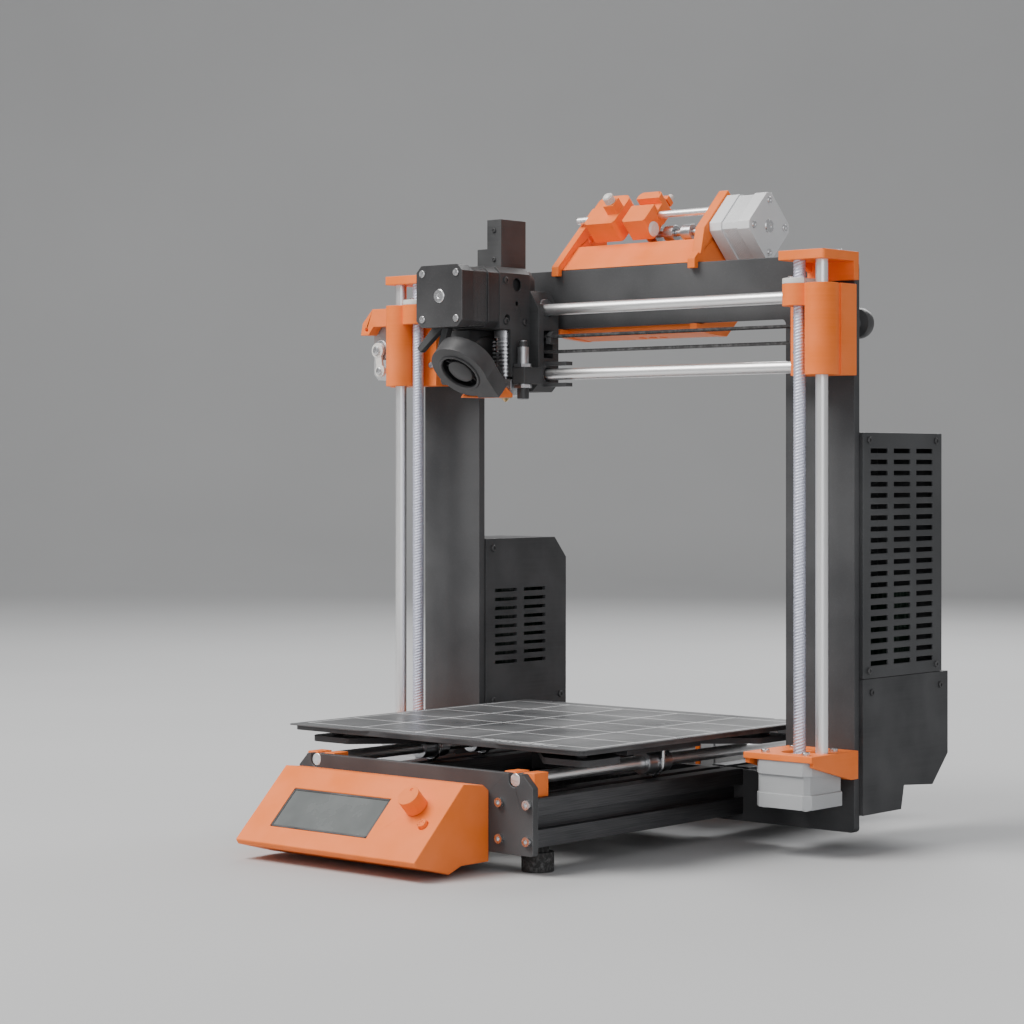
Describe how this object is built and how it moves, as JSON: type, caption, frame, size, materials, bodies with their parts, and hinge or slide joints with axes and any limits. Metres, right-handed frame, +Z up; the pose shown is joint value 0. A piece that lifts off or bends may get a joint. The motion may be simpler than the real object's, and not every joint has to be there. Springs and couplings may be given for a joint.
{
  "type": "fdm printer",
  "caption": "Desktop filament 3-D printer: sliding heated bed, lead-screw gantry carrying the print head, upright frame, sloped control panel and filament selector on top.",
  "frame": {"origin": "centre of the footprint of the bounding box, at the height of the surface it stands on", "axes": "+X is the operator's right, +Y runs from the operator towards the rear, +Z is up"},
  "size_m": [0.4318, 0.4018, 0.4366],
  "materials": {
    "charcoal_paint": "satin powder coat",
    "dark_anodised": "satin anodised",
    "orange_print": "layered printed plastic",
    "black_print": "layered printed plastic",
    "polished_rod": "ground and polished",
    "screw_steel": "rolled thread",
    "plain_steel": "satin",
    "motor_grey": "satin",
    "motor_black": "satin",
    "bolt_steel": "zinc plated",
    "rubber": "moulded",
    "belt_rubber": "toothed",
    "sheet_coat": "textured powder coat on spring steel",
    "heater_board": "coated board",
    "tray_metal": "satin powder coat",
    "bare_aluminium": "turned",
    "white_nut": "moulded",
    "brass": "turned",
    "black_mould": "moulded",
    "screen_glass": "gloss",
    "case_paint": "satin",
    "cover_print": "layered printed plastic",
    "circuit": "solder mask",
    "rocker_black": "moulded"
  },
  "bodies": {
    "base": {"main_frame": "charcoal_paint", "end_plates": "charcoal_paint", "extrusions": "dark_anodised", "rubber_feet": "rubber", "guide_rods": "polished_rod", "bed_mounts": "orange_print", "y_motor": "motor_grey", "y_belt": "belt_rubber", "frame_bolts": "bolt_steel", "z_motors": "motor_grey", "z_motor_mounts": "orange_print", "z_top_brackets": "orange_print", "panel_cover": "orange_print", "screen": "screen_glass", "supply_case": "case_paint", "supply_cover": "cover_print", "mains_inlet": "black_mould", "board_case": "cover_print", "circuit_boards": "circuit", "selector_cradle": "orange_print", "selector_motor": "motor_grey", "idler_block": "orange_print"},
    "bed": {"bed_tray": "tray_metal", "bed_bearings": "plain_steel", "heated_plate": "heater_board"},
    "print_sheet": {"print_sheet": "sheet_coat"},
    "gantry": {"left_end_block": "orange_print", "right_end_block": "orange_print", "x_rods": "polished_rod", "z_bearings": "plain_steel", "lead_nuts": "white_nut", "x_motor": "motor_grey", "x_belt": "belt_rubber"},
    "left_lead_screw": {"left_lead_screw": "screw_steel"},
    "right_lead_screw": {"right_lead_screw": "screw_steel"},
    "print_head": {"x_carriage": "black_print", "x_bearings": "plain_steel", "bed_probe": "plain_steel", "extruder_motor": "motor_black", "extruder_housing": "black_print", "filament_sensor": "black_print", "heat_sink": "bare_aluminium", "heater_block": "bare_aluminium", "hotend_fan": "black_mould", "part_blower": "black_mould", "fan_duct": "orange_print"},
    "y_pulley": {"y_pulley": "bare_aluminium"},
    "y_idler": {"y_idler": "bare_aluminium"},
    "x_pulley": {"x_pulley": "bare_aluminium"},
    "x_idler": {"x_idler": "bare_aluminium"},
    "drive_wheel": {"drive_wheel": "brass"},
    "idler_lever": {"idler_lever": "black_print"},
    "fan_rotor": {"fan_rotor": "black_mould"},
    "blower_rotor": {"blower_rotor": "black_mould"},
    "panel_knob": {"panel_knob": "orange_print"},
    "reset_button": {"reset_button": "orange_print"},
    "power_rocker": {"power_rocker": "rocker_black"},
    "case_door": {"case_door": "cover_print"},
    "selector_slider": {"selector_slider": "orange_print"},
    "feed_shaft": {"feed_shaft": "plain_steel"}
  },
  "joints": [
    {"name": "bed_slide", "type": "slide", "parent": "base", "child": "bed", "axis": [0, 1, 0], "range_m": [-0.07, 0.136]},
    {"name": "sheet_lift_off", "type": "slide", "parent": "bed", "child": "print_sheet", "axis": [0, 0, 1], "range_m": [0, 0.05]},
    {"name": "gantry_lift", "type": "slide", "parent": "base", "child": "gantry", "axis": [0, 0, 1], "range_m": [-0.2144, 0.008]},
    {"name": "left_screw_turn", "type": "hinge", "parent": "base", "child": "left_lead_screw", "pos_m": [-0.1439, 0.04855, 0.06], "axis": [0, 0, 1], "range_deg": [-400, 9720]},
    {"name": "right_screw_turn", "type": "hinge", "parent": "base", "child": "right_lead_screw", "pos_m": [0.1881, 0.04855, 0.06], "axis": [0, 0, 1], "range_deg": [-400, 9720]},
    {"name": "head_slide", "type": "slide", "parent": "gantry", "child": "print_head", "axis": [1, 0, 0], "range_m": [-0.041, 0.19]},
    {"name": "y_pulley_turn", "type": "hinge", "parent": "base", "child": "y_pulley", "pos_m": [0.0221, 0.16955, 0.04], "axis": [1, 0, 0], "range_deg": [-1560, 820]},
    {"name": "y_idler_turn", "type": "hinge", "parent": "base", "child": "y_idler", "pos_m": [0.0221, -0.11145, 0.04], "axis": [1, 0, 0], "range_deg": [-1560, 820]},
    {"name": "x_pulley_turn", "type": "hinge", "parent": "gantry", "child": "x_pulley", "pos_m": [-0.1919, 0.06355, 0.331], "axis": [0, 1, 0], "range_deg": [-2160, 480]},
    {"name": "x_idler_turn", "type": "hinge", "parent": "gantry", "child": "x_idler", "pos_m": [0.1971, 0.06355, 0.331], "axis": [0, 1, 0], "range_deg": [-2160, 480]},
    {"name": "drive_wheel_turn", "type": "hinge", "parent": "print_head", "child": "drive_wheel", "pos_m": [-0.0635, 0.04355, 0.362], "axis": [0, 1, 0], "continuous": true},
    {"name": "idler_lever_tilt", "type": "hinge", "parent": "print_head", "child": "idler_lever", "pos_m": [-0.0492, 0.04355, 0.352], "axis": [0, 1, 0], "range_deg": [0, 6], "stiffness_Nm_per_rad": 0.4, "springref_deg": -8.59},
    {"name": "hotend_fan_turn", "type": "hinge", "parent": "print_head", "child": "fan_rotor", "pos_m": [-0.0899, 0.03655, 0.321], "axis": [1, 0, 0], "continuous": true},
    {"name": "blower_turn", "type": "hinge", "parent": "print_head", "child": "blower_rotor", "pos_m": [-0.0549, -0.00045, 0.3145], "axis": [0, -0.7071, -0.7071], "continuous": true},
    {"name": "panel_knob_turn", "type": "hinge", "parent": "base", "child": "panel_knob", "pos_m": [0.0626, -0.17232, 0.04044], "axis": [0, -0.6984, 0.7157], "continuous": true},
    {"name": "reset_button_push", "type": "slide", "parent": "base", "child": "reset_button", "axis": [0, 0.6984, -0.7157], "range_m": [0, 0.001], "stiffness_N_per_m": 900, "springref_m": -0.0005},
    {"name": "power_rocker_tilt", "type": "hinge", "parent": "base", "child": "power_rocker", "pos_m": [0.2026, 0.18305, 0.08025], "axis": [1, 0, 0], "range_deg": [-8, 8]},
    {"name": "case_door_swing", "type": "hinge", "parent": "base", "child": "case_door", "pos_m": [-0.1671, 0.17615, 0.122], "axis": [0, 0, -1], "range_deg": [0, 110]},
    {"name": "selector_slide", "type": "slide", "parent": "base", "child": "selector_slider", "axis": [1, 0, 0], "range_m": [-0.006, 0.044]},
    {"name": "feed_shaft_turn", "type": "hinge", "parent": "base", "child": "feed_shaft", "pos_m": [0.0521, 0.11055, 0.407], "axis": [1, 0, 0], "continuous": true}
  ],
  "couplings": [
    {"joint": "left_screw_turn", "follows": "gantry_lift", "rad_per_m": -785.4},
    {"joint": "right_screw_turn", "follows": "gantry_lift", "rad_per_m": -785.4},
    {"joint": "y_pulley_turn", "follows": "bed_slide", "rad_per_m": -196.35},
    {"joint": "y_idler_turn", "follows": "bed_slide", "rad_per_m": -196.35},
    {"joint": "x_pulley_turn", "follows": "head_slide", "rad_per_m": -196.35},
    {"joint": "x_idler_turn", "follows": "head_slide", "rad_per_m": -196.35}
  ]
}
